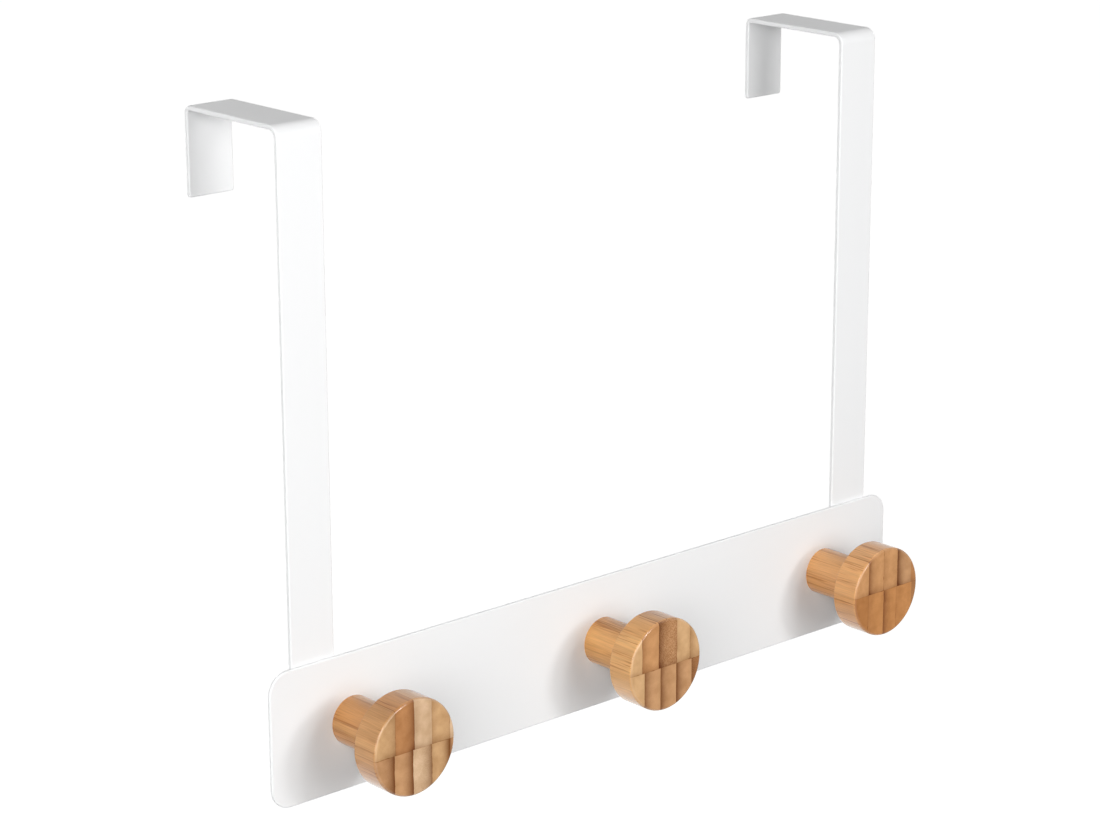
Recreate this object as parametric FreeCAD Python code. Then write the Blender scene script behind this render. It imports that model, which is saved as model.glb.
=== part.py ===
import FreeCAD, Part
import math
import os

# Over door hook: a steel plate with three turned bamboo knobs hangs from two flat steel straps,
# which fold over the top edge of a door. The straps are spot-welded to the back of the plate,
# and each knob is held by one screw driven from behind.
# Millimetres. The origin is on the door's top edge, midway between the straps and in the middle
# of the gap for the door. +X runs along the plate, +Y into the room behind the door, +Z is up.

# Plate
plate_width = 305.0
plate_height = 50.0
plate_thickness = 1.5
plate_corner_radius = 8.0

# Straps
strap_width = 18.5
strap_thickness = 1.8
strap_inset = 10.5  # from the plate's end to the strap's outer edge
strap_tail_margin = 5.0  # from the plate's bottom edge up to the strap's lower end
strap_end_radius = 1.0
front_bend_radius = 2.7  # inside the bend above the door's front face
rear_bend_radius = 1.2  # inside the bend above the door's rear face

# Door
door_gap = 48.0
seat_to_plate = 185.0  # from the door's top edge down to the plate's top edge
back_leg_length = 30.0

# Small bevel where every sheet edge is broken before coating
sheet_edge_bevel = 0.3

# Spot welds, seen as shallow electrode marks on the back of each strap
weld_mark_diameter = 5.0
weld_mark_depth = 0.15
weld_end_distance = 10.0

# Knobs
knob_head_diameter = 35.0
knob_head_thickness = 11.5
knob_stem_diameter = 18.0
knob_stem_length = 22.7
knob_front_bevel = 0.8
knob_rear_bevel = 0.5

# Screws
screw_shank_diameter = 4.0
screw_shank_length = 20.0  # under the head
screw_tip_length = 4.0
screw_tip_diameter = 0.6
screw_head_diameter = 8.5
screw_head_height = 1.4
screw_head_bevel = 0.5
screw_head_to_strap = 2.0  # clear plate between a screw's head and the nearest strap

# Cross recess in each screw's head
recess_span = 4.4
recess_bottom_span = 2.4
recess_width = 0.9
recess_depth = 0.9

# Clearances round the screws
plate_hole_clearance = 0.25
pilot_clearance = 0.05
pilot_spare_depth = 1.5
pilot_point_angle = 118.0

# Planes that the pieces share, from the door outwards
strap_back_y = -door_gap / 2
plate_back_y = strap_back_y - strap_thickness
plate_front_y = plate_back_y - plate_thickness
head_back_y = plate_front_y - knob_stem_length
head_front_y = head_back_y - knob_head_thickness
back_leg_y = door_gap / 2

# Heights
plate_top_z = -seat_to_plate
plate_bottom_z = plate_top_z - plate_height
knob_axis_z = (plate_top_z + plate_bottom_z) / 2
strap_tail_z = plate_bottom_z + strap_tail_margin
back_leg_end_z = -back_leg_length

# Places along the plate
strap_x = plate_width / 2 - strap_inset - strap_width / 2
knob_spacing = strap_x - strap_width / 2 - screw_head_to_strap - screw_head_diameter / 2

x_axis = FreeCAD.Vector(1, 0, 0)
y_axis = FreeCAD.Vector(0, 1, 0)


def corner_arc(before, corner, after, radius):
    """Start, middle and end of the arc that rounds one corner of an outline."""
    to_before = (before - corner).normalize()
    to_after = (after - corner).normalize()
    half_angle = to_before.getAngle(to_after) / 2
    reach = radius / math.tan(half_angle)
    centre = corner + (to_before + to_after).normalize() * (radius / math.sin(half_angle))
    middle = centre + (corner - centre).normalize() * radius
    return corner + to_before * reach, middle, corner + to_after * reach


def rounded_outline(corners):
    """Closed face from (point, corner radius) pairs, with straight sides between the arcs."""
    count = len(corners)
    ends = []
    arcs = []
    for index, (point, radius) in enumerate(corners):
        if radius == 0:
            ends.append((point, point))
            continue
        before = corners[index - 1][0]
        after = corners[(index + 1) % count][0]
        start, middle, end = corner_arc(before, point, after, radius)
        ends.append((start, end))
        arcs.append(Part.Arc(start, middle, end).toShape())
    sides = [
        Part.makeLine(ends[index][1], ends[(index + 1) % count][0])
        for index in range(count)
    ]
    return Part.Face(Part.Wire(Part.__sortEdges__(sides + arcs)))


def turned(profile, x):
    """Solid turned about a knob's axis from the (radius, y) steps of its profile."""
    corners = [(FreeCAD.Vector(x + radius, y, knob_axis_z), 0) for radius, y in profile]
    axis_point = FreeCAD.Vector(x, 0, knob_axis_z)
    return rounded_outline(corners).revolve(axis_point, y_axis, 360)


def runs_along(edge, axis):
    """True for a straight edge that is parallel to the axis."""
    if not isinstance(edge.Curve, Part.Line):
        return False
    return abs(abs(edge.Curve.Direction.dot(axis)) - 1) < 1e-6


def round_sheet_corners(sheet, radius, at_height):
    """Round the sheet's square corners at the heights that the test accepts."""
    corners = [
        edge
        for edge in sheet.Edges
        if runs_along(edge, y_axis) and at_height(edge.CenterOfMass.z)
    ]
    return sheet.makeFillet(radius, corners)


def break_sheet_edges(sheet, is_seam):
    """Bevel both outlines of a sheet. Seams inside its faces and across its edge stay."""
    outline = [
        edge
        for edge in sheet.Edges
        if not runs_along(edge, y_axis) and not is_seam(edge)
    ]
    return sheet.makeChamfer(sheet_edge_bevel, outline)


def back_plate():
    """Flat plate with rounded corners and one clearance hole behind each knob."""
    half = plate_width / 2
    corners = [
        (FreeCAD.Vector(-half, plate_front_y, plate_bottom_z), plate_corner_radius),
        (FreeCAD.Vector(half, plate_front_y, plate_bottom_z), plate_corner_radius),
        (FreeCAD.Vector(half, plate_front_y, plate_top_z), plate_corner_radius),
        (FreeCAD.Vector(-half, plate_front_y, plate_top_z), plate_corner_radius),
    ]
    blank = rounded_outline(corners).extrude(y_axis * plate_thickness)
    plate = break_sheet_edges(blank, lambda edge: False)
    hole_radius = screw_shank_diameter / 2 + plate_hole_clearance
    for x in knob_places():
        start = FreeCAD.Vector(x, plate_front_y - plate_thickness, knob_axis_z)
        plate = plate.cut(Part.makeCylinder(hole_radius, 3 * plate_thickness, start, y_axis))
    return plate


def strap_blank(x):
    """Strip folded over the door: long front leg, bridge on the seat and short back leg."""
    left = x - strap_width / 2
    outer_front = front_bend_radius + strap_thickness
    outer_rear = rear_bend_radius + strap_thickness
    outer_back_y = back_leg_y + strap_thickness
    side_view = [
        (plate_back_y, strap_tail_z, 0),
        (plate_back_y, strap_thickness, outer_front),
        (outer_back_y, strap_thickness, outer_rear),
        (outer_back_y, back_leg_end_z, 0),
        (back_leg_y, back_leg_end_z, 0),
        (back_leg_y, 0, rear_bend_radius),
        (strap_back_y, 0, front_bend_radius),
        (strap_back_y, strap_tail_z, 0),
    ]
    corners = [(FreeCAD.Vector(left, y, z), radius) for y, z, radius in side_view]
    return rounded_outline(corners).extrude(x_axis * strap_width)


def weld_marks(x):
    """Ball-ended electrode marks: one near the strap's tail, one near the plate's top edge."""
    half = weld_mark_diameter / 2
    ball_radius = (half**2 + weld_mark_depth**2) / (2 * weld_mark_depth)
    ball_y = strap_back_y + ball_radius - weld_mark_depth
    heights = (strap_tail_z + weld_end_distance, plate_top_z - weld_end_distance)
    return [Part.makeSphere(ball_radius, FreeCAD.Vector(x, ball_y, z)) for z in heights]


def door_strap(x):
    """One folded strap with rounded ends and broken edges, welded flat on the plate's back."""
    ends = (strap_tail_z, back_leg_end_z)

    def at_an_end(z):
        return min(abs(z - end) for end in ends) < sheet_edge_bevel

    def is_bend_seam(edge):
        return runs_along(edge, x_axis) and not at_an_end(edge.CenterOfMass.z)

    strap = round_sheet_corners(strap_blank(x), strap_end_radius, at_an_end)
    strap = break_sheet_edges(strap, is_bend_seam)
    for mark in weld_marks(x):
        strap = strap.cut(mark)
    return strap


def pilot_hole(x):
    """Blind hole for the screw, with the cone that a drill leaves at its end."""
    radius = screw_shank_diameter / 2 + pilot_clearance
    wall_end_y = plate_back_y - screw_shank_length - pilot_spare_depth
    cone_depth = radius / math.tan(math.radians(pilot_point_angle / 2))
    return turned(
        [
            (0, plate_back_y),
            (radius, plate_back_y),
            (radius, wall_end_y),
            (0, wall_end_y - cone_depth),
        ],
        x,
    )


def knob(x):
    """Knob turned in one piece: a wide head on a straight stem, bored from behind."""
    head_radius = knob_head_diameter / 2
    stem_radius = knob_stem_diameter / 2
    body = turned(
        [
            (0, plate_front_y),
            (stem_radius, plate_front_y),
            (stem_radius, head_back_y),
            (head_radius - knob_rear_bevel, head_back_y),
            (head_radius, head_back_y - knob_rear_bevel),
            (head_radius, head_front_y + knob_front_bevel),
            (head_radius - knob_front_bevel, head_front_y),
            (0, head_front_y),
        ],
        x,
    )
    return body.cut(pilot_hole(x))


def cross_recess(x):
    """Two tapered slots that cross at the middle of a screw's head."""
    mouth_y = plate_back_y + screw_head_height
    bottom_y = mouth_y - recess_depth
    half_top = recess_span / 2
    half_bottom = recess_bottom_span / 2
    section = [
        (FreeCAD.Vector(x - half_top, mouth_y, knob_axis_z), 0),
        (FreeCAD.Vector(x + half_top, mouth_y, knob_axis_z), 0),
        (FreeCAD.Vector(x + half_bottom, bottom_y, knob_axis_z), 0),
        (FreeCAD.Vector(x - half_bottom, bottom_y, knob_axis_z), 0),
    ]
    slot = rounded_outline(section).extrude(FreeCAD.Vector(0, 0, recess_width))
    slot.translate(FreeCAD.Vector(0, 0, -recess_width / 2))
    crossing = slot.copy()
    crossing.rotate(FreeCAD.Vector(x, 0, knob_axis_z), y_axis, 90)
    return slot.fuse(crossing)


def knob_screw(x):
    """Low wafer head on the plate's back, thinner than the strap, and a pointed shank."""
    shank_radius = screw_shank_diameter / 2
    head_radius = screw_head_diameter / 2
    tip_y = plate_back_y - screw_shank_length
    head_top_y = plate_back_y + screw_head_height
    body = turned(
        [
            (0, head_top_y),
            (head_radius - screw_head_bevel, head_top_y),
            (head_radius, head_top_y - screw_head_bevel),
            (head_radius, plate_back_y),
            (shank_radius, plate_back_y),
            (shank_radius, tip_y + screw_tip_length),
            (screw_tip_diameter / 2, tip_y),
            (0, tip_y),
        ],
        x,
    )
    return body.cut(cross_recess(x))


def knob_places():
    """Where the three knobs stand along the plate."""
    return (-knob_spacing, 0.0, knob_spacing)


def sub_parts():
    """Every piece of the hook by its name."""
    pieces = {
        "back_plate": back_plate(),
        "left_door_strap": door_strap(-strap_x),
        "right_door_strap": door_strap(strap_x),
    }
    for side, x in zip(("left", "middle", "right"), knob_places()):
        pieces[f"{side}_knob"] = knob(x)
        pieces[f"{side}_knob_screw"] = knob_screw(x)
    return pieces


os.makedirs("parts", exist_ok=True)
for name, shape in sub_parts().items():
    shape.exportStep(f"parts/{name}.step")
    box = shape.BoundBox
    print(
        name,
        "valid" if shape.isValid() else "NOT VALID",
        len(shape.Solids),
        "solid",
        round(shape.Volume, 1),
        "mm3",
        [round(value, 2) for value in (box.XMin, box.XMax, box.YMin, box.YMax, box.ZMin, box.ZMax)],
    )
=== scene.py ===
"""Over door hook: a white powder-coated plate on two folded straps, with three bamboo knobs.

Lengths are in metres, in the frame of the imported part: +X along the plate, +Y through the door
away from the knobs, +Z up, and the origin on the door's top edge. Patterns are in millimetres.
"""

import logging
import math
from collections.abc import Callable, Iterator
from contextlib import contextmanager
from dataclasses import dataclass
from enum import Enum
from itertools import pairwise

import bmesh
import bpy
from mathutils import Matrix, Vector


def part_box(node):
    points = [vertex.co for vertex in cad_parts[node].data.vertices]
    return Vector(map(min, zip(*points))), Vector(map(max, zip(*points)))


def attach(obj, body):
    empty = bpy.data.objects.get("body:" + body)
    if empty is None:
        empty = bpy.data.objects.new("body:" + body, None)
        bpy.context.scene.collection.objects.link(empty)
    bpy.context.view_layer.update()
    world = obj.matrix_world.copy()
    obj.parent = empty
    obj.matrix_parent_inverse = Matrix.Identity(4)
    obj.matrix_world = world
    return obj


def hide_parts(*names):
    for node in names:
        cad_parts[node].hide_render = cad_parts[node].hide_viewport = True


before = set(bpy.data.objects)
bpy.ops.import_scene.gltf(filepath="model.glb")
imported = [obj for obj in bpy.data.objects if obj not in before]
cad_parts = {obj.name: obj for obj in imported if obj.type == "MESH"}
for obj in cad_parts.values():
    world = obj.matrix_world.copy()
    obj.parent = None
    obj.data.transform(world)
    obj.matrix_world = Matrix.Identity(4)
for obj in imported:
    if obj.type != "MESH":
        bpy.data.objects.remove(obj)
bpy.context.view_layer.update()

MM = 0.001
MICRON = 0.001 * MM
NEAR = 2 * MICRON  # a vertex this close to a plane or a rim lies on it
STRAIGHT = 0.99  # the cosine from which an edge counts as running along an axis
QUARTER_TURN = math.pi / 2
SHARP = math.radians(60)  # square edges, but not the steps of a bend
CREASE = math.radians(35)  # from here on the shading has an edge too
FACE_WEIGHT = 100  # the most that a large face can count in the shading
BODY = "root"
KNOBS = ("left_knob", "middle_knob", "right_knob")
X, Y, Z = 0, 1, 2
WHITE = (1.0, 1.0, 1.0)
FLOAT, VECTOR = "NodeSocketFloat", "NodeSocketVector"

Point = tuple[float, float, float]
Colour = tuple[float, float, float]
Pair = tuple[float, float]
Socket = bpy.types.NodeSocket
Paint = Socket | Colour

log = logging.getLogger("over_door_hook")


class Slot(Enum):
    """The record's material slots."""

    COAT = "white_powder_coat"
    BAMBOO = "bamboo"
    ZINC = "zinc_plated_steel"


class Kind(Enum):
    """What a selection is made of: the select mode, and where a mesh keeps such items."""

    VERTS = ("VERT", "verts")
    EDGES = ("EDGE", "edges")
    FACES = ("FACE", "faces")


# Modelling


class Workpiece:
    """One mesh on the bench. Its methods shape what is selected, with Blender's own operators."""

    def __init__(self, name: str, size: Point = (1, 1, 1)) -> None:
        """Takes up the primitive that was just added.

        Args:
            name: The piece's name.
            size: How much the primitive is stretched along its own axes.
        """
        self.thing: bpy.types.Object = bpy.context.active_object
        self.thing.name = name
        self.thing.data.name = name
        self.thing.scale = size
        self._take()
        bpy.ops.object.transform_apply(location=True, rotation=True, scale=True)

    def _take(self) -> None:
        """Makes this piece the only one selected, and the active one."""
        bpy.ops.object.select_all(action="DESELECT")
        self.thing.select_set(True)
        bpy.context.view_layer.objects.active = self.thing

    @contextmanager
    def _editing(self) -> Iterator[None]:
        """Edit mode on this piece alone.

        Yields:
            Nothing, while edit mode is on.
        """
        self._take()
        bpy.ops.object.mode_set(mode="EDIT")
        yield
        bpy.ops.object.mode_set(mode="OBJECT")

    def _operate(self, operator: Callable[..., set[str]], **settings: object) -> "Workpiece":
        """Runs one operator in edit mode.

        Args:
            operator: The operator.
            settings: What it is given.

        Returns:
            The piece, for the operator that follows.
        """
        with self._editing():
            operator(**settings)
        return self

    def pick(self, kind: Kind, test: Callable[..., bool]) -> "Workpiece":
        """Selects the items that pass a test, and nothing else.

        Args:
            kind: Vertices, edges or faces.
            test: Says yes or no for one item.

        Returns:
            The piece, for the operator that follows.
        """
        mode, attribute = kind.value
        with self._editing():
            bpy.ops.mesh.select_mode(type=mode)
            bpy.ops.mesh.select_all(action="DESELECT")
            shape = bmesh.from_edit_mesh(self.thing.data)
            for item in getattr(shape, attribute):
                if test(item):
                    item.select_set(True)
            bmesh.update_edit_mesh(self.thing.data)
        return self

    def pull(self, by: Point) -> "Workpiece":
        """Extrudes what is selected by a step."""
        step = {"value": by}
        return self._operate(bpy.ops.mesh.extrude_region_move, TRANSFORM_OT_translate=step)

    def shift(self, by: Point) -> "Workpiece":
        """Moves what is selected by a step."""
        return self._operate(bpy.ops.transform.translate, value=by)

    def stretch(self, factors: Point, centre: Point) -> "Workpiece":
        """Scales what is selected about a point."""
        return self._operate(bpy.ops.transform.resize, value=factors, center_override=centre)

    def swing(self, angle: float, centre: Point, axis: Point, steps: int) -> "Workpiece":
        """Extrudes what is selected round an axis, against the right hand, as sheet is bent."""
        return self._operate(bpy.ops.mesh.spin, steps=steps, angle=angle, center=centre, axis=axis)

    def wind(self, turns: int, centre: Point, axis: Point, steps: int) -> "Workpiece":
        """Winds the selected outline into a thread that climbs its own height each turn."""
        return self._operate(bpy.ops.mesh.screw, steps=steps, turns=turns, center=centre, axis=axis)

    def round_off(self, radius: float, steps: int, corners: bool = False) -> "Workpiece":
        """Rounds the selected edges, or else the selected corners of a flat outline."""
        affect = "VERTICES" if corners else "EDGES"
        return self._operate(bpy.ops.mesh.bevel, offset=radius, segments=steps, affect=affect)

    def inset(self, by: float) -> "Workpiece":
        """Insets the selected faces by a width."""
        return self._operate(bpy.ops.mesh.inset, thickness=by)

    def close_to_point(self) -> "Workpiece":
        """Draws what is selected together in its middle."""
        return self._operate(bpy.ops.mesh.merge, type="CENTER")

    def saw(self, plane: Point, away: Point) -> "Workpiece":
        """Cuts off all that lies beyond a plane and closes the cut.

        Args:
            plane: A point on the plane.
            away: The plane's normal, towards what comes off.

        Returns:
            The piece.
        """
        with self._editing():
            bpy.ops.mesh.select_all(action="SELECT")
            bpy.ops.mesh.bisect(
                plane_co=plane, plane_no=away, use_fill=True, clear_outer=True, threshold=MICRON
            )
        return self

    def mend(self) -> "Workpiece":
        """Merges doubled vertices and turns every face outwards.

        Returns:
            The piece.
        """
        with self._editing():
            bpy.ops.mesh.select_all(action="SELECT")
            bpy.ops.mesh.remove_doubles(threshold=MICRON)
            bpy.ops.mesh.normals_make_consistent(inside=False)
        return self

    def apply(self, kind: str, **settings: object) -> "Workpiece":
        """Adds a modifier, sets it up and applies it.

        Args:
            kind: The modifier's type.
            settings: Its settings.

        Returns:
            The piece.
        """
        self._take()
        modifier = self.thing.modifiers.new(kind.lower(), kind)
        for name, value in settings.items():
            setattr(modifier, name, value)
        bpy.ops.object.modifier_apply(modifier=modifier.name)
        return self

    def combine(self, other: "Workpiece", operation: str = "DIFFERENCE") -> "Workpiece":
        """Cuts away, adds or keeps what another piece covers, and uses that piece up.

        Args:
            other: The piece that cuts or is added.
            operation: DIFFERENCE, UNION or INTERSECT.

        Returns:
            The piece.
        """
        self.apply("BOOLEAN", operation=operation, object=other.thing, solver="EXACT")
        bpy.data.meshes.remove(other.thing.data)
        return self

    def copy(self, name: str, by: Point) -> "Workpiece":
        """Copies the piece, with a mesh of its own, and moves the copy.

        Args:
            name: The copy's name.
            by: How far the copy moves.

        Returns:
            The copy.
        """
        self._take()
        bpy.ops.object.duplicate(linked=False)
        bpy.ops.transform.translate(value=by)
        return Workpiece(name)

    def finish(self) -> bpy.types.Object:
        """Smooths the rounded edges and lets the large faces decide how they catch light.

        Returns:
            The finished object.
        """
        self._take()
        bpy.ops.object.shade_smooth_by_angle(angle=CREASE)
        self.apply("WEIGHTED_NORMAL", keep_sharp=True, weight=FACE_WEIGHT)
        return self.thing


def everything(_: object) -> bool:
    """Passes every item."""
    return True


def is_sharp(edge: bmesh.types.BMEdge) -> bool:
    """True where two faces meet at more than sixty degrees."""
    return len(edge.link_faces) == 2 and edge.calc_face_angle(0) > SHARP


def goes_through_sheet(edge: bmesh.types.BMEdge) -> bool:
    """True for an edge that runs along Y, straight through the sheet."""
    start, end = (vertex.co for vertex in edge.verts)
    return abs((end - start).normalized().y) > STRAIGHT


def lies_at(axis: int, *planes: float) -> Callable[..., bool]:
    """A test for edges and faces that lie wholly in one of some planes.

    Args:
        axis: X, Y or Z, the axis that the planes cross.
        planes: Where they cross it.

    Returns:
        The test.
    """

    def in_a_plane(item: bmesh.types.BMEdge | bmesh.types.BMFace) -> bool:
        """True when all corners lie in the same plane."""
        return any(
            all(abs(vertex.co[axis] - plane) < NEAR for vertex in item.verts)
            for plane in planes
        )

    return in_a_plane


def middle(low: Vector, high: Vector) -> Pair:
    """The X and Z of a box's middle."""
    return (low.x + high.x) / 2, (low.z + high.z) / 2


def disc(name: str, centre: Point, radius: float, sides: int) -> Workpiece:
    """A round blank that faces -Y, ready to be pulled into a turned piece.

    Args:
        name: The piece's name.
        centre: Its middle.
        radius: Its radius.
        sides: How many corners its outline gets.

    Returns:
        The blank, all selected.
    """
    bpy.ops.mesh.primitive_circle_add(
        vertices=sides,
        radius=radius,
        fill_type="NGON",
        location=centre,
        rotation=(QUARTER_TURN, 0, 0),
    )
    return Workpiece(name).pick(Kind.FACES, everything)


class SubAssembly:
    """Pieces made alike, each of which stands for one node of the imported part."""

    names: tuple[str, ...]
    nodes: tuple[str, ...]
    slot: Slot

    def shape(self, low: Vector, high: Vector) -> Workpiece:
        """Models the first piece.

        Args:
            low: The lowest corner of the first node.
            high: Its highest corner.

        Returns:
            The piece.
        """
        raise NotImplementedError

    def build(self) -> list[Workpiece]:
        """Models the first piece and copies it along the plate to the other nodes.

        Returns:
            The pieces, in the order of the nodes.
        """
        low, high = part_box(self.nodes[0])
        first = self.shape(low, high)
        pieces = [first]
        for name, node in zip(self.names[1:], self.nodes[1:]):
            place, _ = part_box(node)
            pieces.append(first.copy(name, (place.x - low.x, 0, 0)))
        return pieces

    def dress(self, pieces: list[Workpiece], skins: list[bpy.types.Material]) -> None:
        """Gives each piece its material and ties it to the frame.

        Args:
            pieces: The pieces, in the order of the nodes.
            skins: The materials, in the same order.
        """
        for work, node, skin in zip(pieces, self.nodes, skins, strict=True):
            piece = work.finish()
            piece.data.materials.clear()
            piece.data.materials.append(skin)
            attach(piece, BODY)
            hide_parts(node)
            log.info("%s stands for %s, %d faces", piece.name, node, len(piece.data.polygons))


@dataclass
class BackPlate(SubAssembly):
    """Flat plate with rounded corners, rounded edges and a clearance hole behind each knob."""

    names: tuple[str, ...] = ("coated_plate",)
    nodes: tuple[str, ...] = ("back_plate",)
    slot: Slot = Slot.COAT
    corner_radius: float = 8.0 * MM
    corner_steps: int = 16
    edge_radius: float = 0.6 * MM
    edge_steps: int = 4
    hole_radius: float = 2.25 * MM
    hole_sides: int = 64

    def shape(self, low: Vector, high: Vector) -> Workpiece:
        """Models the plate.

        Args:
            low: The plate's lowest corner.
            high: Its highest corner.

        Returns:
            The plate.
        """
        x, z = middle(low, high)
        size = high - low
        bpy.ops.mesh.primitive_plane_add(
            size=1, location=(x, low.y, z), rotation=(QUARTER_TURN, 0, 0)
        )
        plate = Workpiece(self.names[0], (size.x, size.z, 1)).pick(Kind.VERTS, everything)
        plate.round_off(self.corner_radius, self.corner_steps, corners=True)
        plate.pick(Kind.FACES, everything).pull((0, size.y, 0)).mend()
        plate.pick(Kind.EDGES, is_sharp).round_off(self.edge_radius, self.edge_steps)
        for knob in KNOBS:
            plate.combine(self._drill(knob, size.y))
        return plate

    def _drill(self, knob: str, thickness: float) -> Workpiece:
        """The round cutter that makes the hole behind one knob.

        Args:
            knob: The knob's node.
            thickness: The plate's thickness. The cutter is three times as long.

        Returns:
            The cutter.
        """
        low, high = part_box(knob)
        x, z = middle(low, high)
        bpy.ops.mesh.primitive_cylinder_add(
            vertices=self.hole_sides,
            radius=self.hole_radius,
            depth=3 * thickness,
            location=(x, high.y + thickness / 2, z),
            rotation=(QUARTER_TURN, 0, 0),
        )
        return Workpiece("drill")


@dataclass
class DoorStraps(SubAssembly):
    """Two folded straps: a long front leg, the bridge over the door and a short back leg."""

    names: tuple[str, ...] = ("coated_left_strap", "coated_right_strap")
    nodes: tuple[str, ...] = ("left_door_strap", "right_door_strap")
    slot: Slot = Slot.COAT
    thickness: float = 1.8 * MM
    front_bend: float = 2.7 * MM
    front_bend_steps: int = 16
    rear_bend: float = 1.2 * MM
    rear_bend_steps: int = 14
    back_leg: float = 30.0 * MM
    end_radius: float = 1.0 * MM
    end_steps: int = 6
    edge_radius: float = 0.5 * MM
    edge_steps: int = 4
    weld_radius: float = 2.5 * MM
    weld_depth: float = 0.15 * MM
    weld_heights: Pair = (10.0 * MM, 35.0 * MM)
    weld_sides: int = 64

    def shape(self, low: Vector, high: Vector) -> Workpiece:
        """Folds the left strap, rounds its ends and edges, and marks its welds.

        Args:
            low: The strap's lowest corner.
            high: Its highest corner.

        Returns:
            The strap.
        """
        strap = self._fold(low, high).mend()
        at_an_end = lies_at(Z, low.z, -self.back_leg)
        strap.pick(Kind.EDGES, lambda edge: at_an_end(edge) and goes_through_sheet(edge))
        strap.round_off(self.end_radius, self.end_steps)
        strap.pick(Kind.EDGES, is_sharp).round_off(self.edge_radius, self.edge_steps)
        x, _ = middle(low, high)
        for height in self.weld_heights:
            strap.combine(self._electrode((x, low.z + height), low.y))
        return strap

    def _fold(self, low: Vector, high: Vector) -> Workpiece:
        """Pulls a strip up the door, over its top edge and down behind it.

        Args:
            low: The strap's lowest corner.
            high: Its highest corner.

        Returns:
            The folded strip, with square edges.
        """
        x, _ = middle(low, high)
        inner_front = low.y + self.thickness
        inner_rear = high.y - self.thickness
        seat = high.z - self.thickness
        front_centre = (0, inner_front + self.front_bend, seat - self.front_bend)
        rear_centre = (0, inner_rear - self.rear_bend, seat - self.rear_bend)
        bpy.ops.mesh.primitive_plane_add(size=1, location=(x, low.y + self.thickness / 2, low.z))
        strap = Workpiece(self.names[0], (high.x - low.x, self.thickness, 1))
        strap.pick(Kind.FACES, everything).pull((0, 0, front_centre[Z] - low.z))
        strap.swing(QUARTER_TURN, front_centre, (1, 0, 0), self.front_bend_steps)
        strap.pull((0, rear_centre[Y] - front_centre[Y], 0))
        strap.swing(QUARTER_TURN, rear_centre, (1, 0, 0), self.rear_bend_steps)
        return strap.pull((0, 0, -self.back_leg - rear_centre[Z]))

    def _electrode(self, place: Pair, front: float) -> Workpiece:
        """The flattened ball whose tip leaves one weld mark.

        Args:
            place: The mark's X and Z.
            front: The Y of the strap's front face.

        Returns:
            The cutter.
        """
        back = front + self.thickness
        bpy.ops.mesh.primitive_uv_sphere_add(
            segments=self.weld_sides,
            ring_count=self.weld_sides // 2,
            radius=1,
            location=(place[0], back + self.weld_depth, place[1]),
            rotation=(QUARTER_TURN, 0, 0),
        )
        # Half of the ball's radius goes in, and there the ball is this share of its full width.
        share = math.sqrt(1 - 0.5**2)
        width = self.weld_radius / share
        return Workpiece("electrode", (width, width, 2 * self.weld_depth))


@dataclass
class TurnedKnobs(SubAssembly):
    """Three knobs turned in one piece each: a wide head on a straight stem, bored from behind."""

    names: tuple[str, ...] = ("bamboo_left_knob", "bamboo_middle_knob", "bamboo_right_knob")
    nodes: tuple[str, ...] = KNOBS
    slot: Slot = Slot.BAMBOO
    stem_radius: float = 9.0 * MM
    head_thickness: float = 11.5 * MM
    front_radius: float = 1.0 * MM
    rear_radius: float = 0.6 * MM
    edge_steps: int = 6
    face_rings: int = 2
    bore_radius: float = 2.05 * MM
    bore_depth: float = 20.0 * MM
    bore_point: float = 1.2 * MM
    sides: int = 128

    def shape(self, low: Vector, high: Vector) -> Workpiece:
        """Pulls a knob out of a round blank, from its foot on the plate to its face.

        Args:
            low: The knob's lowest corner.
            high: Its highest corner.

        Returns:
            The knob.
        """
        x, z = middle(low, high)
        head_radius = (high.x - low.x) / 2
        head_back = low.y + self.head_thickness
        widen = head_radius / self.stem_radius
        knob = disc(self.names[0], (x, high.y, z), self.stem_radius, self.sides)
        knob.pull((0, head_back - high.y, 0))
        knob.pull((0, 0, 0)).stretch((widen, 1, widen), (x, head_back, z))
        knob.pull((0, -self.head_thickness, 0)).mend()

        def on_rim(edge: bmesh.types.BMEdge) -> bool:
            """True for an edge on the head's outline."""
            return all(
                math.hypot(vertex.co.x - x, vertex.co.z - z) > head_radius - NEAR
                for vertex in edge.verts
            )

        for plane, radius in ((low.y, self.front_radius), (head_back, self.rear_radius)):
            in_plane = lies_at(Y, plane)
            knob.pick(Kind.EDGES, lambda edge: in_plane(edge) and on_rim(edge))
            knob.round_off(radius, self.edge_steps)
        knob.pick(Kind.FACES, lies_at(Y, low.y))
        for _ in range(self.face_rings):
            knob.inset(head_radius / (self.face_rings + 1))
        knob.pick(Kind.FACES, lies_at(Y, high.y)).inset(self.stem_radius - self.bore_radius)
        knob.pull((0, -self.bore_depth, 0)).pull((0, -self.bore_point, 0)).close_to_point()
        return knob.mend()


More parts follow.
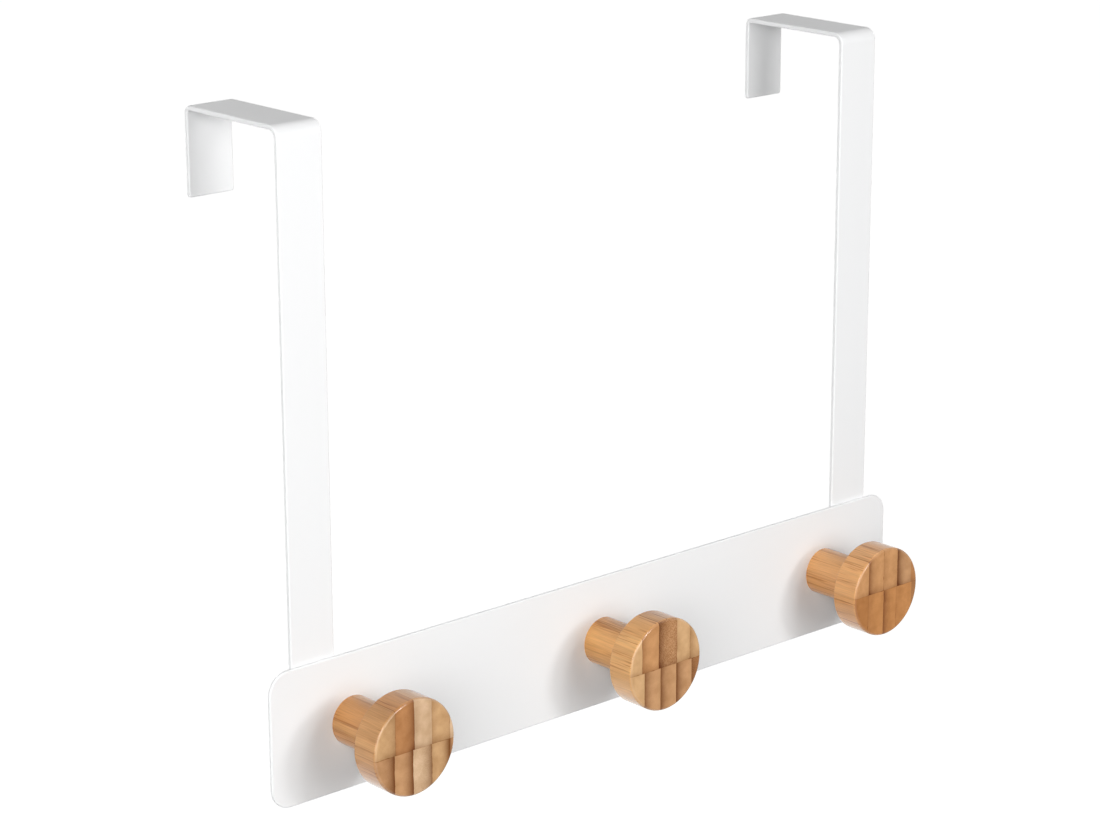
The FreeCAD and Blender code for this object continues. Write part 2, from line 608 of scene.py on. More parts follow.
@dataclass
class KnobScrews(SubAssembly):
    """Three wood screws with low wafer heads and cross recesses, driven from behind.

    The thread's profile has a step for each side of one turn: outwards in thread depths, and
    along the screw in pitches.
    """

    names: tuple[str, ...] = (
        "zinc_left_knob_screw",
        "zinc_middle_knob_screw",
        "zinc_right_knob_screw",
    )
    nodes: tuple[str, ...] = ("left_knob_screw", "middle_knob_screw", "right_knob_screw")
    slot: Slot = Slot.ZINC
    head_height: float = 1.4 * MM
    head_edge: float = 0.5 * MM
    head_sides: int = 96
    edge_steps: int = 6
    neck_length: float = 2.4 * MM
    neck_radius: float = 1.6 * MM
    core_radius: float = 1.4 * MM
    crest_radius: float = 1.97 * MM
    tip_radius: float = 0.3 * MM
    tip_length: float = 4.0 * MM
    pitch: float = 1.6 * MM
    profile: tuple[Pair, ...] = ((1, 0.3), (0, 0.08), (-1, 0.3), (0, 0.32))
    thread_steps: int = 32
    spare_turns: int = 2
    blank_room: float = 1.02
    blank_sides: int = 64
    recess_span: float = 4.4 * MM
    recess_bottom: float = 2.4 * MM
    recess_width: float = 0.9 * MM
    recess_depths: Pair = (0.9 * MM, 0.88 * MM)

    def shape(self, low: Vector, high: Vector) -> Workpiece:
        """Makes a head with its neck, a threaded shank and a recess.

        Args:
            low: The screw's lowest corner.
            high: Its highest corner.

        Returns:
            The screw.
        """
        x, z = middle(low, high)
        head_radius = (high.x - low.x) / 2
        plate_back = high.y - self.head_height
        narrow = self.neck_radius / head_radius
        screw = disc(self.names[0], (x, high.y, z), head_radius, self.head_sides)
        screw.pull((0, -self.head_height, 0))
        screw.pull((0, 0, 0)).stretch((narrow, 1, narrow), (x, plate_back, z))
        screw.pull((0, -self.neck_length, 0)).mend()
        top = lies_at(Y, high.y)
        screw.pick(Kind.EDGES, lambda edge: top(edge) and is_sharp(edge))
        screw.round_off(self.head_edge, self.edge_steps)
        shank_top = (x, plate_back - self.neck_length / 2, z)
        screw.combine(self._shank(shank_top, low.y), "UNION")
        for across, depth in zip((X, Z), self.recess_depths):
            screw.combine(self._slot((x, high.y, z), across, depth))
        return screw.mend()

    def _shank(self, top: Point, tip: float) -> Workpiece:
        """The thread: one outline wound round the axis, sawn off inside the neck and pointed.

        Args:
            top: Where the shank starts.
            tip: The Y of the screw's tip.

        Returns:
            The shank.
        """
        x, start, z = top
        depth = self.crest_radius - self.core_radius
        first_turn = start + self.pitch / 2
        bpy.ops.mesh.primitive_plane_add(size=self.pitch, location=(x, first_turn, z))
        shank = Workpiece("shank").pick(Kind.VERTS, everything).close_to_point()
        shank.shift((self.core_radius, 0, 0))
        for out, along in self.profile:
            shank.pull((out * depth, along * self.pitch, 0))
        turns = math.ceil((first_turn - tip) / self.pitch) + self.spare_turns
        shank.pick(Kind.VERTS, everything)
        shank.wind(turns, (x, first_turn, z), (0, 1, 0), self.thread_steps).mend()
        shank.saw(top, (0, 1, 0)).saw((x, tip - self.pitch / 2, z), (0, -1, 0)).mend()
        return shank.combine(self._pencil((x, start + self.pitch, z), tip), "INTERSECT")

    def _pencil(self, top: Point, tip: float) -> Workpiece:
        """The pointed shape that the thread is ground down to.

        Args:
            top: The middle of its wide end.
            tip: The Y of the screw's tip.

        Returns:
            The shape.
        """
        x, start, z = top
        room = self.blank_room * self.crest_radius
        sharpen = self.tip_radius / room
        pencil = disc("pencil", top, room, self.blank_sides)
        pencil.pull((0, tip + self.tip_length - start, 0))
        pencil.pull((0, -self.tip_length, 0)).stretch((sharpen, 1, sharpen), (x, tip, z))
        return pencil.mend()

    def _slot(self, top: Point, across: int, depth: float) -> Workpiece:
        """One of the two tapered slots that cross in the head.

        Args:
            top: The middle of the head's top.
            across: X or Z, the way the slot runs.
            depth: How deep it is. The two differ a little, so that no faces coincide.

        Returns:
            The cutter.
        """
        x, y, z = top
        bpy.ops.mesh.primitive_plane_add(
            size=1, location=(x, y - depth, z), rotation=(QUARTER_TURN, 0, 0)
        )
        # The head's top is halfway up the slot, and there the slot is as long as the span.
        widen = 2 * self.recess_span / self.recess_bottom - 1
        long, short = self.recess_bottom, self.recess_width
        if across == X:
            size, factors = (long, short, 1), (widen, 1, 1)
        else:
            size, factors = (short, long, 1), (1, 1, widen)
        slot = Workpiece("slot", size).pick(Kind.FACES, everything)
        return slot.pull((0, 2 * depth, 0)).stretch(factors, top).mend()


# Shader trees


class Wiring:
    """Adds nodes to a shader tree and links them as they come."""

    def __init__(self, tree: bpy.types.NodeTree) -> None:
        """Starts from an empty tree."""
        self.tree = tree
        self.tree.nodes.clear()

    def node(self, kind: str, wires: dict | None = None, **settings: object) -> bpy.types.Node:
        """Adds one node.

        Args:
            kind: The node's type.
            wires: For an input's name or number, the socket or the value that feeds it.
            settings: The node's own settings.

        Returns:
            The node.
        """
        node = self.tree.nodes.new(kind)
        for name, value in settings.items():
            setattr(node, name, value)
        for key, value in (wires or {}).items():
            if isinstance(value, Socket):
                self.tree.links.new(value, node.inputs[key])
            else:
                node.inputs[key].default_value = value
        return node

    def math(self, operation: str, *values: Socket | float, clamp: bool = False) -> Socket:
        """One arithmetic step on sockets or numbers."""
        wires = dict(enumerate(values))
        return self.node("ShaderNodeMath", wires, operation=operation, use_clamp=clamp).outputs[0]

    def climb(self, value: Socket, start: float, end: float, how: str = "LINEAR") -> Socket:
        """Goes from 0 at the start value to 1 at the end value, and stays there."""
        wires = {"Value": value, "From Min": start, "From Max": end}
        return self.node("ShaderNodeMapRange", wires, interpolation_type=how).outputs["Result"]

    def mix(self, share: Socket | float, first: Paint, second: Paint, how: str = "MIX") -> Socket:
        """Mixes a share of the second colour into the first, by a blend mode."""
        wires = {0: share, 6: rgba(first), 7: rgba(second)}
        return self.node("ShaderNodeMix", wires, data_type="RGBA", blend_type=how).outputs[2]

    def choose(self, share: Socket, first: Socket | float, second: Socket | float) -> Socket:
        """Mixes two numbers."""
        return self.node("ShaderNodeMix", {0: share, 2: first, 3: second}).outputs[0]

    def noise(self, place: Socket, scale: Socket | float, detail: float) -> Socket:
        """Plain noise from 0 to 1 about a half."""
        wires = {"Vector": place, "Scale": scale, "Detail": detail}
        return self.node("ShaderNodeTexNoise", wires).outputs[0]

    def millimetres(self, centre: Point = (0, 0, 0)) -> Socket:
        """Gives the surface's place on the piece in millimetres.

        Args:
            centre: Where it counts from, in metres.

        Returns:
            The place.
        """
        place = self.node("ShaderNodeTexCoord").outputs["Object"]
        shift = tuple(-value / MM for value in centre)
        wires = {"Vector": place, "Location": shift, "Scale": (1 / MM,) * 3}
        return self.node("ShaderNodeMapping", wires, vector_type="POINT").outputs["Vector"]

    def end_facing(self) -> Socket:
        """Tells end grain from the turned sides, where fibres lie in the surface.

        Returns:
            1 where the surface faces along Y, as end grain does, down to 0 on the sides.
        """
        normal = self.node("ShaderNodeTexCoord").outputs["Normal"]
        along = self.node("ShaderNodeSeparateXYZ", {0: normal}).outputs["Y"]
        return self.math("ABSOLUTE", along)

    def backdrop_rays(self) -> Socket:
        """Picks the rays that show the backdrop itself, in the picture or in a gloss.

        Returns:
            1 for those rays, or else 0.
        """
        path = self.node("ShaderNodeLightPath").outputs
        seen = path["Is Camera Ray"]
        for kind in ("Is Glossy Ray", "Is Transmission Ray"):
            seen = self.math("MAXIMUM", seen, path[kind])
        return seen

    def surface(self, **sockets: Socket | float | tuple) -> None:
        """Ends a material in a Principled shader.

        Args:
            sockets: What feeds its sockets, with an underscore for each space in a name.
        """
        wires = {name.replace("_", " "): value for name, value in sockets.items()}
        shader = self.node("ShaderNodeBsdfPrincipled", wires)
        self.node("ShaderNodeOutputMaterial", {"Surface": shader.outputs["BSDF"]})


def rgba(value: Paint) -> Socket | tuple[float, float, float, float]:
    """A colour with its alpha, or the socket as it is."""
    return value if isinstance(value, Socket) else (*value, 1.0)


def linear(red: int, green: int, blue: int) -> Colour:
    """Turns an 8-bit display colour into the linear colour that a shader takes, by sRGB."""
    return tuple(
        c / 12.92 if c <= 0.04045 else ((c + 0.055) / 1.055) ** 2.4
        for c in (red / 255, green / 255, blue / 255)
    )


def effect(
    name: str, given: dict[str, str], made: dict[str, str]
) -> tuple[Wiring, dict[str, Socket]]:
    """Starts a shader group with named sockets.

    Args:
        name: The group's name.
        given: The inputs' names and socket types.
        made: The outputs' names and socket types.

    Returns:
        The group's wiring, and the inputs by name.
    """
    tree = bpy.data.node_groups.new(name, "ShaderNodeTree")
    for way, sockets in (("INPUT", given), ("OUTPUT", made)):
        for label, kind in sockets.items():
            tree.interface.new_socket(name=label, in_out=way, socket_type=kind)
    wiring = Wiring(tree)
    entry = wiring.node("NodeGroupInput")
    return wiring, {label: entry.outputs[label] for label in given}


@dataclass(frozen=True)
class SkinRipple:
    """The fine ripple that a sprayed, lacquered or plated skin sets with."""

    detail: float = 2.0
    patch_scale: float = 0.06

    def group(self) -> bpy.types.NodeTree:
        """Builds the group.

        Returns:
            The group, with Height for a bump and Patches for slow changes of gloss.
        """
        wiring, given = effect(
            "skin_ripple",
            {"Position": VECTOR, "Wave": FLOAT},
            {"Height": FLOAT, "Patches": FLOAT},
        )
        fine = wiring.math("DIVIDE", 1.0, given["Wave"])
        coarse = wiring.math("MULTIPLY", fine, self.patch_scale)
        wires = {
            "Height": wiring.noise(given["Position"], fine, self.detail),
            "Patches": wiring.noise(given["Position"], coarse, self.detail),
        }
        wiring.node("NodeGroupOutput", wires)
        return wiring.tree


@dataclass(frozen=True)
class Mottle:
    """A noise: its scale per millimetre, its detail, and the values that go to 0 and to 1."""

    scale: float
    detail: float
    zero: float = 0.0
    one: float = 1.0
    how: str = "SMOOTHSTEP"

    def wire(self, wiring: Wiring, place: Socket) -> Socket:
        """Wires the noise into a tree, read at a place and spread from 0 to 1."""
        noise = wiring.noise(place, self.scale, self.detail)
        return wiring.climb(noise, self.zero, self.one, self.how)


@dataclass(frozen=True)
class BambooFibre:
    """Fibres along Y, which are dots on end grain and lines along the side."""

    draw_out: float = 0.03
    bundle_scale: float = 2.7
    bundle_scatter: float = 0.8
    bundle_reach: Pair = (0.7, 0.15)
    lines: Mottle = Mottle(1.7, 3.0, 0.5, 0.68)
    clusters: Mottle = Mottle(0.3, 1.0, 0.4, 0.6)
    gaps: Mottle = Mottle(0.3, 2.5, 0.5, 0.72)
    fibre_scale: float = 3.0
    fibre_detail: float = 4.0
    drift: Mottle = Mottle(0.22, 2.0, 0.3, 0.7, "LINEAR")

    def group(self) -> bpy.types.NodeTree:
        """Builds the group.

        Returns:
            The group, with Bundles, Streaks and Gaps from 0 to 1, and Fibre and Drift about a
            half.
        """
        wiring, given = effect(
            "bamboo_fibre",
            {"Position": VECTOR, "Seed": FLOAT},
            {"Bundles": FLOAT, "Streaks": FLOAT, "Gaps": FLOAT, "Fibre": FLOAT, "Drift": FLOAT},
        )
        wires = {"Vector": given["Position"], "Scale": (1, self.draw_out, 1)}
        drawn_out = wiring.node("ShaderNodeMapping", wires).outputs[0]
        offset = wiring.node("ShaderNodeCombineXYZ", {"Y": given["Seed"]}).outputs[0]
        wires = {0: drawn_out, 1: offset}
        place = wiring.node("ShaderNodeVectorMath", wires, operation="ADD").outputs[0]
        wires = {"Vector": place, "Scale": self.bundle_scale, "Randomness": self.bundle_scatter}
        cells = wiring.node("ShaderNodeTexVoronoi", wires).outputs["Distance"]
        lines = self.lines.wire(wiring, place)
        clusters = self.clusters.wire(wiring, place)
        wires = {
            "Bundles": wiring.climb(cells, *self.bundle_reach, "SMOOTHSTEP"),
            "Streaks": wiring.math("MULTIPLY", lines, clusters),
            "Gaps": self.gaps.wire(wiring, place),
            "Fibre": wiring.noise(place, self.fibre_scale, self.fibre_detail),
            "Drift": self.drift.wire(wiring, place),
        }
        wiring.node("NodeGroupOutput", wires)
        return wiring.tree


# Finishes


def new_material(name: str) -> tuple[bpy.types.Material, Wiring]:
    """Makes an empty material.

    Args:
        name: The material's name.

    Returns:
        The material and the wiring of its tree.
    """
    material = bpy.data.materials.new(name)
    material.use_nodes = True
    return material, Wiring(material.node_tree)


@dataclass(frozen=True)
class MetalSkin:
    """A thin skin on metal. It sets with a fine ripple, and its gloss changes slowly."""

    colour: Colour
    roughness: float
    roughness_spread: float
    wave: float
    ripple_height: float

    def wire(self, wiring: Wiring, ripple: bpy.types.NodeTree) -> tuple[Socket, Socket, Socket]:
        """Wires the skin into a material.

        Args:
            wiring: The material's wiring.
            ripple: The group with the skin's ripple.

        Returns:
            The roughness, the normal and the patches in which the gloss changes.
        """
        wires = {"Position": wiring.millimetres(), "Wave": self.wave}
        skin = wiring.node("ShaderNodeGroup", wires, node_tree=ripple).outputs
        level = self.roughness - self.roughness_spread / 2
        roughness = wiring.math("MULTIPLY_ADD", skin["Patches"], self.roughness_spread, level)
        wires = {"Height": skin["Height"], "Distance": self.ripple_height}
        normal = wiring.node("ShaderNodeBump", wires).outputs[0]
        return roughness, normal, skin["Patches"]


@dataclass(frozen=True)
class PowderCoat(MetalSkin):
    """White satin powder coat, which covers every sheet edge."""

    colour: Colour = (0.862, 0.866, 0.87)
    roughness: float = 0.42
    roughness_spread: float = 0.08
    wave: float = 0.9
    ripple_height: float = 0.004 * MM
    gloss: float = 0.3

    def material(self, ripple: bpy.types.NodeTree) -> bpy.types.Material:
        """Builds the coat.

        Args:
            ripple: The group with the skin's ripple.

        Returns:
            The material.
        """
        material, wiring = new_material("white_powder_coat")
        satin, normal, _ = self.wire(wiring, ripple)
        wiring.surface(
            Base_Color=rgba(self.colour),
            Roughness=satin,
            Specular_IOR_Level=self.gloss,
            Normal=normal,
        )
        return material


@dataclass(frozen=True)
class ZincPlate(MetalSkin):
    """Bright zinc plating, a little cloudy and a little blue."""

    colour: Colour = (0.70, 0.72, 0.74)
    roughness: float = 0.26
    roughness_spread: float = 0.14
    wave: float = 0.35
    ripple_height: float = 0.003 * MM
    cloudy_colour: Colour = (0.60, 0.63, 0.68)

    def material(self, ripple: bpy.types.NodeTree) -> bpy.types.Material:
        """Builds the plating.

        Args:
            ripple: The group with the skin's ripple.

        Returns:
            The material.
        """
        material, wiring = new_material("zinc_plate")
        bright, normal, patches = self.wire(wiring, ripple)
        metal = wiring.mix(patches, self.colour, self.cloudy_colour)
        wiring.surface(Base_Color=metal, Roughness=bright, Metallic=1.0, Normal=normal)
        return material


class Tone(Enum):
    """The tones that bamboo strips come in, from the pale inner wall to the dark outer wall."""

    PALE = linear(216, 182, 146)
    STRAW = linear(211, 169, 122)
    TAN = linear(201, 153, 108)
    HONEY = linear(206, 152, 101)
    CARAMEL = linear(196, 136, 80)
    RUSSET = linear(192, 136, 86)
    BROWN = linear(178, 119, 65)
    SMOKED = linear(168, 117, 72)


@dataclass(frozen=True)
class Strip:
    """One strip in cross section: its tone, how dark either side is, how dense its bundles are."""

    tone: Tone
    left: float = 0.1
    right: float = 0.1
    bundles: float = 0.06

    @property
    def traits(self) -> Colour:
        """The three numbers as one colour, so that they travel together."""
        return self.left, self.right, self.bundles


@dataclass(frozen=True)
class StripRow:
    """A row of strips glued side by side, and its joints in millimetres from the knob's axis."""

    joints: tuple[float, ...]
    strips: tuple[Strip, ...]


@dataclass(frozen=True)
class Lamination:
    """A knob's block: two rows of strips, one glued on the other, and its tone along the fibres."""

    name: str
    seed: float
    side_tone: Colour
    row_joint: float
    upper: StripRow
    lower: StripRow


LAMINATIONS = (
    Lamination(
        name="left",
        seed=3.0,
        side_tone=linear(199, 140, 75),
        row_joint=-0.7,
        upper=StripRow(
            (-8.5, -0.3, 7.4, 15.4),
            (
                Strip(Tone.STRAW, right=0.5),
                Strip(Tone.RUSSET, left=0.25, right=0.75),
                Strip(Tone.PALE, left=0.3, right=0.2),
                Strip(Tone.STRAW, left=0.35, right=0.35),
                Strip(Tone.PALE),
            ),
        ),
        lower=StripRow(
            (-9.1, -1.0, 7.2, 15.1),
            (
                Strip(Tone.TAN, left=0.5, right=1.0),
                Strip(Tone.TAN, left=0.2, right=1.0),
                Strip(Tone.PALE, right=0.8, bundles=0.2),
                Strip(Tone.STRAW, left=0.3, right=1.0),
                Strip(Tone.TAN, left=0.9),
            ),
        ),
    ),
    Lamination(
        name="middle",
        seed=11.0,
        side_tone=linear(226, 167, 95),
        row_joint=-0.65,
        upper=StripRow(
            (-11.8, -3.6, 5.4, 11.9),
            (
                Strip(Tone.STRAW, left=0.0, right=0.0),
                Strip(Tone.HONEY, left=0.5, right=0.2),
                Strip(Tone.TAN, left=0.9, right=0.3, bundles=1.0),
                Strip(Tone.STRAW, left=0.2),
                Strip(Tone.STRAW, left=0.4),
            ),
        ),
        lower=StripRow(
            (-10.6, -2.7, 5.2, 12.9),
            (
                Strip(Tone.STRAW),
                Strip(Tone.TAN, left=0.8),
                Strip(Tone.TAN, left=0.9),
                Strip(Tone.TAN, left=1.0),
                Strip(Tone.SMOKED, left=0.5, bundles=0.7),
            ),
        ),
    ),
    Lamination(
        name="right",
        seed=23.0,
        side_tone=linear(230, 169, 104),
        row_joint=0.9,
        upper=StripRow(
            (-10.0, -1.7, 6.0, 13.9),
            (
                Strip(Tone.HONEY),
                Strip(Tone.HONEY, left=0.8),
                Strip(Tone.HONEY, left=0.3, right=0.2),
                Strip(Tone.TAN, left=1.0),
                Strip(Tone.RUSSET),
            ),
        ),
        lower=StripRow(
            (-10.0, -1.4, 5.7, 14.5),
            (
                Strip(Tone.BROWN, left=0.3),
                Strip(Tone.CARAMEL, left=0.3),
                Strip(Tone.CARAMEL, left=0.8),
                Strip(Tone.CARAMEL, left=0.2),
                Strip(Tone.SMOKED, right=0.5),
            ),
        ),
    ),
)


@dataclass(frozen=True)
class LaminatedBamboo:
    """Lacquered bamboo, glued up from strips whose fibres run along the knob's axis.

    End grain shows where the surface faces along the axis, and the masks of the turned side and
    of what lacquer soaks into are each given by the facing at which they start and are full.
    """

    turned: Pair = (0.8, 0.4)
    soaked: Pair = (0.93, 0.99)
    half_block: float = 19.0
    strip_width: float = 8.0
    outer_wall: Colour = (0.24, 0.11, 0.0)
    bundle: Colour = (0.60, 0.44, 0.27)
    outer_bundles: float = 0.25
    bundle_sink: float = 0.8
    bundle_roughness: float = 0.12
    glue: Colour = (0.82, 0.74, 0.64)
    gap: Colour = (0.50, 0.34, 0.20)
    side_evenness: float = 0.7
    side_wall: float = 0.2
    side_streaks: float = 0.95
    dull: Colour = (0.88, 0.84, 0.78)
    bright: Colour = (1.10, 1.12, 1.15)
    end_fibre: float = 0.12
    side_fibre: float = 0.7
    fade: float = 2.6
    foot_shade: float = 0.35
    foot_height: float = 5.0
    joint_wander: float = 0.2
    joint_core: float = 0.04
    joint_half_width: float = 0.12
    gap_half_width: float = 0.28
    roughness: float = 0.45
    base_gloss: float = 0.05
    end_lacquer: float = 0.25
    lacquer_index: float = 1.5
    lacquer_roughness: float = 0.12
    wave: float = 1.6
    grain_height: float = 0.008 * MM

    def material(
        self,
        block: Lamination,
        axis: Point,
        ripple: bpy.types.NodeTree,
        fibre: bpy.types.NodeTree,
    ) -> bpy.types.Material:
        """Builds one knob's bamboo.

        Args:
            block: How the knob's block is glued up.
            axis: A point on the knob's axis, in metres.
            ripple: The group with the lacquer's ripple.
            fibre: The group with the fibre bundles.

        Returns:
            The material.
        """
        material, wiring = new_material("bamboo_" + block.name)
        place = wiring.millimetres(axis)
        wires = {"Position": place, "Seed": block.seed}
        grain = wiring.node("ShaderNodeGroup", wires, node_tree=fibre).outputs
        wires = {"Position": place, "Wave": self.wave}
        skin = wiring.node("ShaderNodeGroup", wires, node_tree=ripple).outputs
        tone, outer, bundles, joint = self._strips(wiring, place, grain, block)

        facing = wiring.end_facing()
        side = wiring.climb(facing, *self.turned, "SMOOTHSTEP")
        soaked = wiring.climb(facing, *self.soaked)
        outer = wiring.math("MULTIPLY", outer, wiring.choose(side, 1.0, self.side_wall))
        streaks = wiring.math("MULTIPLY", side, grain["Streaks"])
        streaks = wiring.math("MULTIPLY", streaks, self.side_streaks)
        seam = wiring.mix(grain["Gaps"], self.glue, self.gap)
        evenness = wiring.math("MULTIPLY", side, self.side_evenness)
        colour = wiring.mix(evenness, tone, block.side_tone)
        colour = wiring.mix(outer, colour, self.outer_wall, "MULTIPLY")
        for share, tint in ((bundles, self.bundle), (streaks, self.bundle), (joint, seam)):
            colour = wiring.mix(share, colour, tint, "MULTIPLY")
        depth = wiring.choose(side, self.end_fibre, self.side_fibre)
        lift = wiring.math("SUBTRACT", grain["Fibre"], 0.5)
        shade = wiring.math("MULTIPLY_ADD", lift, depth, 1.0)
        colour = wiring.mix(1.0, colour, shade, "MULTIPLY")
        drift = wiring.mix(grain["Drift"], self.dull, self.bright)
        colour = wiring.mix(1.0, colour, drift, "MULTIPLY")

        relief = wiring.math("MULTIPLY_ADD", bundles, -self.bundle_sink, skin["Height"])
        relief = wiring.math("SUBTRACT", relief, joint)
        wires = {"Height": relief, "Distance": self.grain_height}
        wiring.surface(
            Base_Color=colour,
            Roughness=wiring.math("MULTIPLY_ADD", bundles, self.bundle_roughness, self.roughness),
            Normal=wiring.node("ShaderNodeBump", wires).outputs[0],
            Specular_IOR_Level=self.base_gloss,
            Coat_Weight=wiring.choose(soaked, 1.0, self.end_lacquer),
            Coat_Roughness=self.lacquer_roughness,
            Coat_IOR=self.lacquer_index,
        )
        return material

    def _strips(
        self,
        wiring: Wiring,
        place: Socket,
        grain: bpy.types.bpy_prop_collection,
        block: Lamination,
    ) -> tuple[Socket, Socket, Socket, Socket]:
        """Lays out both rows of strips.

        Args:
            wiring: The material's wiring.
            place: The place from the knob's axis, in millimetres.
            grain: What the fibre group gives.
            block: How the block is glued up.

        Returns:
            The tone, then how much outer wall, fibre bundle and glue joint shows there.
        """
        parts = wiring.node("ShaderNodeSeparateXYZ", {0: place}).outputs
        stray = wiring.math("SUBTRACT", grain["Drift"], 0.5)
        across = wiring.math("MULTIPLY_ADD", stray, self.joint_wander, parts["X"])
        height = wiring.math("MULTIPLY_ADD", stray, self.joint_wander, parts["Z"])
        above = wiring.math("SUBTRACT", height, block.row_joint)
        is_upper = wiring.math("GREATER_THAN", above, 0.0)

        lower, upper = (self._row(wiring, across, row) for row in (block.lower, block.upper))
        tone = wiring.mix(is_upper, lower[0], upper[0])
        mixed = wiring.mix(is_upper, lower[1], upper[1])
        traits = wiring.node("ShaderNodeSeparateColor", {0: mixed}).outputs
        within = wiring.choose(is_upper, lower[2], upper[2])
        back = wiring.math("SUBTRACT", 1.0, within)

        foot = wiring.math("POWER", wiring.climb(above, self.foot_height, 0.0), self.fade)
        foot = wiring.math("MULTIPLY", foot, is_upper)
        outer = wiring.math("MULTIPLY", foot, self.foot_shade)
        for trait, reach in (("Red", back), ("Green", within)):
            depth = wiring.math("POWER", reach, self.fade)
            outer = wiring.math("MULTIPLY_ADD", traits[trait], depth, outer, clamp=True)
        dense = wiring.math("MULTIPLY_ADD", outer, self.outer_bundles, traits["Blue"], clamp=True)
        bundles = wiring.math("MULTIPLY", grain["Bundles"], dense)

        from_side = wiring.math("MULTIPLY", wiring.math("MINIMUM", within, back), self.strip_width)
        nearest = wiring.math("MINIMUM", from_side, wiring.math("ABSOLUTE", above))
        reach = wiring.choose(grain["Gaps"], self.joint_half_width, self.gap_half_width)
        joint = wiring.climb(nearest, reach, self.joint_core, "SMOOTHSTEP")
        return tone, outer, bundles, joint

    def _row(self, wiring: Wiring, across: Socket, row: StripRow) -> tuple[Socket, Socket, Socket]:
        """Lays out one row of strips.

        Args:
            wiring: The material's wiring.
            across: The place across the strips, in millimetres.
            row: The row.

        Returns:
            The strip's tone, its traits, and the place within it from 0 to 1.
        """
        first, *others = row.strips
        tone: Paint = first.tone.value
        traits: Paint = first.traits
        for joint, strip in zip(row.joints, others):
            past = wiring.math("GREATER_THAN", across, joint)
            tone = wiring.mix(past, tone, strip.tone.value)
            traits = wiring.mix(past, traits, strip.traits)
        count: Socket | float = 0.0
        for start, end in pairwise((-self.half_block, *row.joints, self.half_block)):
            count = wiring.math("ADD", wiring.climb(across, start, end), count)
        return tone, traits, wiring.math("FRACT", count)


# Studio


def towards(azimuth: float, elevation: float) -> Vector:
    """The direction to something seen from the hook.

    Args:
        azimuth: Degrees to the right of straight in front of the knobs.
        elevation: Degrees above the horizon.

    Returns:
        The direction.
    """
    turn, rise = math.radians(azimuth), math.radians(elevation)
    flat = math.cos(rise)
    return Vector((math.sin(turn) * flat, -math.cos(turn) * flat, math.sin(rise)))


@dataclass(frozen=True)
class Softbox:
    """One square soft light, aimed at the middle of the hook."""

    name: str
    azimuth: float
    elevation: float
    distance: float
    size: float
    power: float

    def hang(self, target: Vector) -> None:
        """Hangs the softbox and aims it.

        Args:
            target: Where it points.
        """
        place = target + self.distance * towards(self.azimuth, self.elevation)
        bpy.ops.object.light_add(type="AREA", location=place)
        lamp = bpy.context.active_object
        lamp.name = self.name
        lamp.rotation_euler = (place - target).to_track_quat("Z", "Y").to_euler()
        lamp.visible_camera = False
        lamp.data.size = self.size
        lamp.data.energy = self.power


@dataclass(frozen=True)
class Viewpoint:
    """Where the camera stands and how it is turned."""

    place: Point = (-0.74437, -0.83895, 0.20072)
    azimuth: float = -41.53
    elevation: float = 16.33
    roll: float = -0.19
    lens: float = 103.64
    sensor: float = 36.0

    def set_up(self) -> None:
        """Makes the camera and hands it to the scene."""
        back = towards(self.azimuth, self.elevation)
        right = Vector((0, 0, 1)).cross(back).normalized()
        turn = Matrix((right, back.cross(right), back)).transposed()
        turn @= Matrix.Rotation(math.radians(self.roll), 3, "Z")
        bpy.ops.object.camera_add(location=self.place, rotation=turn.to_euler())
        camera = bpy.context.active_object
        camera.name = "camera"
        camera.data.lens = self.lens
        camera.data.sensor_width = self.sensor
        camera.data.sensor_fit = "HORIZONTAL"
        bpy.context.scene.camera = camera


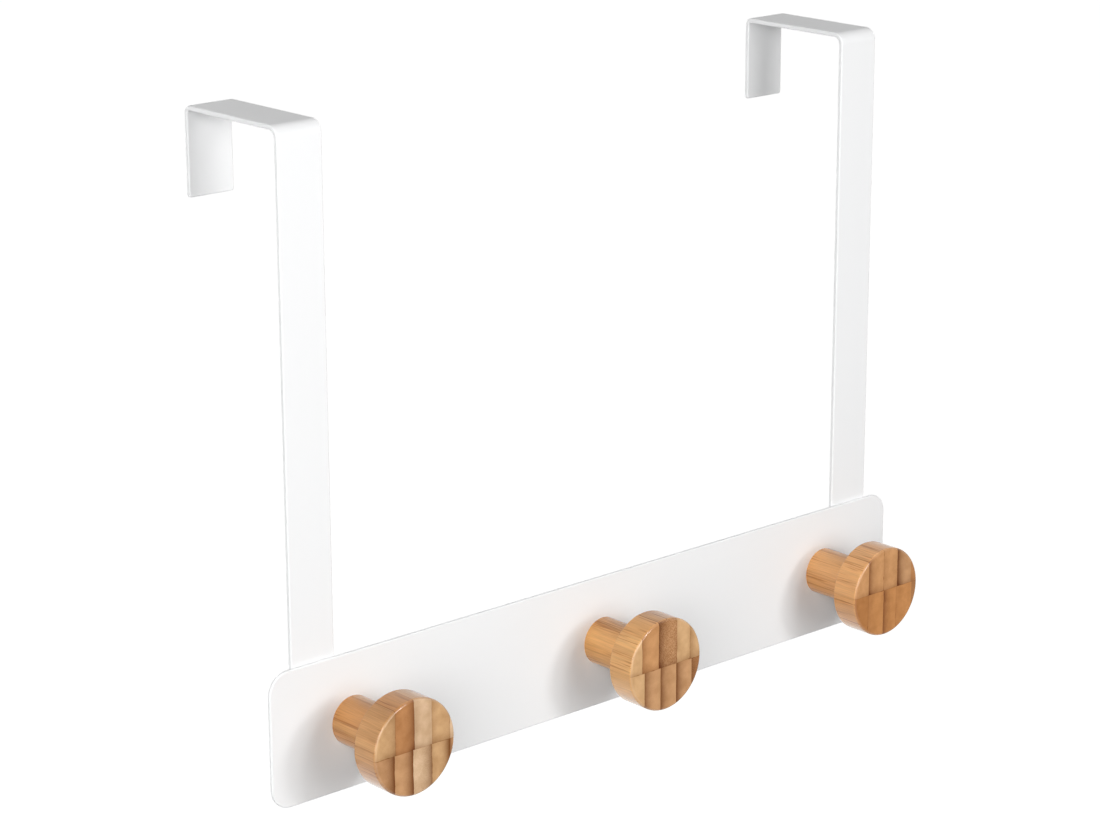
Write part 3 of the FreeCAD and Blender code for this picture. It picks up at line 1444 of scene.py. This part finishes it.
@dataclass(frozen=True)
class Studio:
    """White studio: a pale floor well below the hook, an even sky and soft lights."""

    target: Point = (0.0, -0.03, -0.12)
    floor_height: float = -0.9
    floor_size: float = 60.0
    floor_colour: Colour = (0.45, 0.45, 0.45)
    floor_lift: float = 0.98
    ambient: float = 0.08
    softboxes: tuple[Softbox, ...] = (
        Softbox("key_softbox", 14.0, 14.0, distance=1.0, size=0.16, power=2.42),
        Softbox("upper_softbox", 2.0, 22.0, distance=1.0, size=0.16, power=1.16),
        Softbox("front_softbox", 0.0, 10.0, distance=1.0, size=0.4, power=2.54),
        Softbox("left_softbox", -58.0, 10.0, distance=1.5, size=1.2, power=6.7),
        Softbox("left_upper_softbox", -52.0, 20.0, distance=1.5, size=0.8, power=9.2),
        Softbox("side_softbox", -97.0, 8.0, distance=1.5, size=1.0, power=4.5),
        Softbox("top_softbox", 90.0, 70.0, distance=1.2, size=0.6, power=1.5),
        Softbox("rear_softbox", 180.0, 2.0, distance=1.1, size=1.0, power=7.0),
    )

    def build(self) -> None:
        """Lays the floor, lights the sky and hangs the softboxes."""
        self._floor()
        self._sky()
        for softbox in self.softboxes:
            softbox.hang(Vector(self.target))
        scene = bpy.context.scene
        scene.view_settings.view_transform = "Standard"
        log.info("studio: %d softboxes, floor at %.2f m", len(self.softboxes), self.floor_height)

    def _floor(self) -> None:
        """A pale floor that keeps the hook's shadow."""
        bpy.ops.mesh.primitive_plane_add(size=self.floor_size, location=(0, 0, self.floor_height))
        floor = bpy.context.active_object
        floor.name = "studio_floor"
        material, wiring = new_material("studio_floor")
        lift = wiring.math("MULTIPLY", wiring.backdrop_rays(), self.floor_lift)
        wiring.surface(
            Base_Color=rgba(self.floor_colour),
            Roughness=1.0,
            Specular_IOR_Level=0.0,
            Emission_Color=rgba(WHITE),
            Emission_Strength=lift,
        )
        floor.data.materials.append(material)

    def _sky(self) -> None:
        """A backdrop that looks white all round, and lights the hook only faintly."""
        world = bpy.data.worlds.new("studio_sky")
        world.use_nodes = True
        bpy.context.scene.world = world
        wiring = Wiring(world.node_tree)
        strength = wiring.choose(wiring.backdrop_rays(), self.ambient, 1.0)
        wires = {"Color": rgba(WHITE), "Strength": strength}
        sky = wiring.node("ShaderNodeBackground", wires)
        wiring.node("ShaderNodeOutputWorld", {"Surface": sky.outputs[0]})


def main() -> None:
    """Builds the hook piece by piece, dresses it, and sets up the studio and the camera."""
    logging.basicConfig(level=logging.INFO, format="%(name)s: %(message)s")
    ripple, fibre = SkinRipple().group(), BambooFibre().group()
    coat = PowderCoat().material(ripple)
    plating = ZincPlate().material(ripple)
    bamboo = LaminatedBamboo()
    woods = []
    for block, knob in zip(LAMINATIONS, KNOBS):
        low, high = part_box(knob)
        x, z = middle(low, high)
        woods.append(bamboo.material(block, (x, low.y, z), ripple, fibre))

    for kind, skins in (
        (BackPlate(), [coat]),
        (DoorStraps(), [coat, coat]),
        (TurnedKnobs(), woods),
        (KnobScrews(), [plating, plating, plating]),
    ):
        kind.dress(kind.build(), skins)

    Studio().build()
    Viewpoint().set_up()


if __name__ == "__main__":
    main()
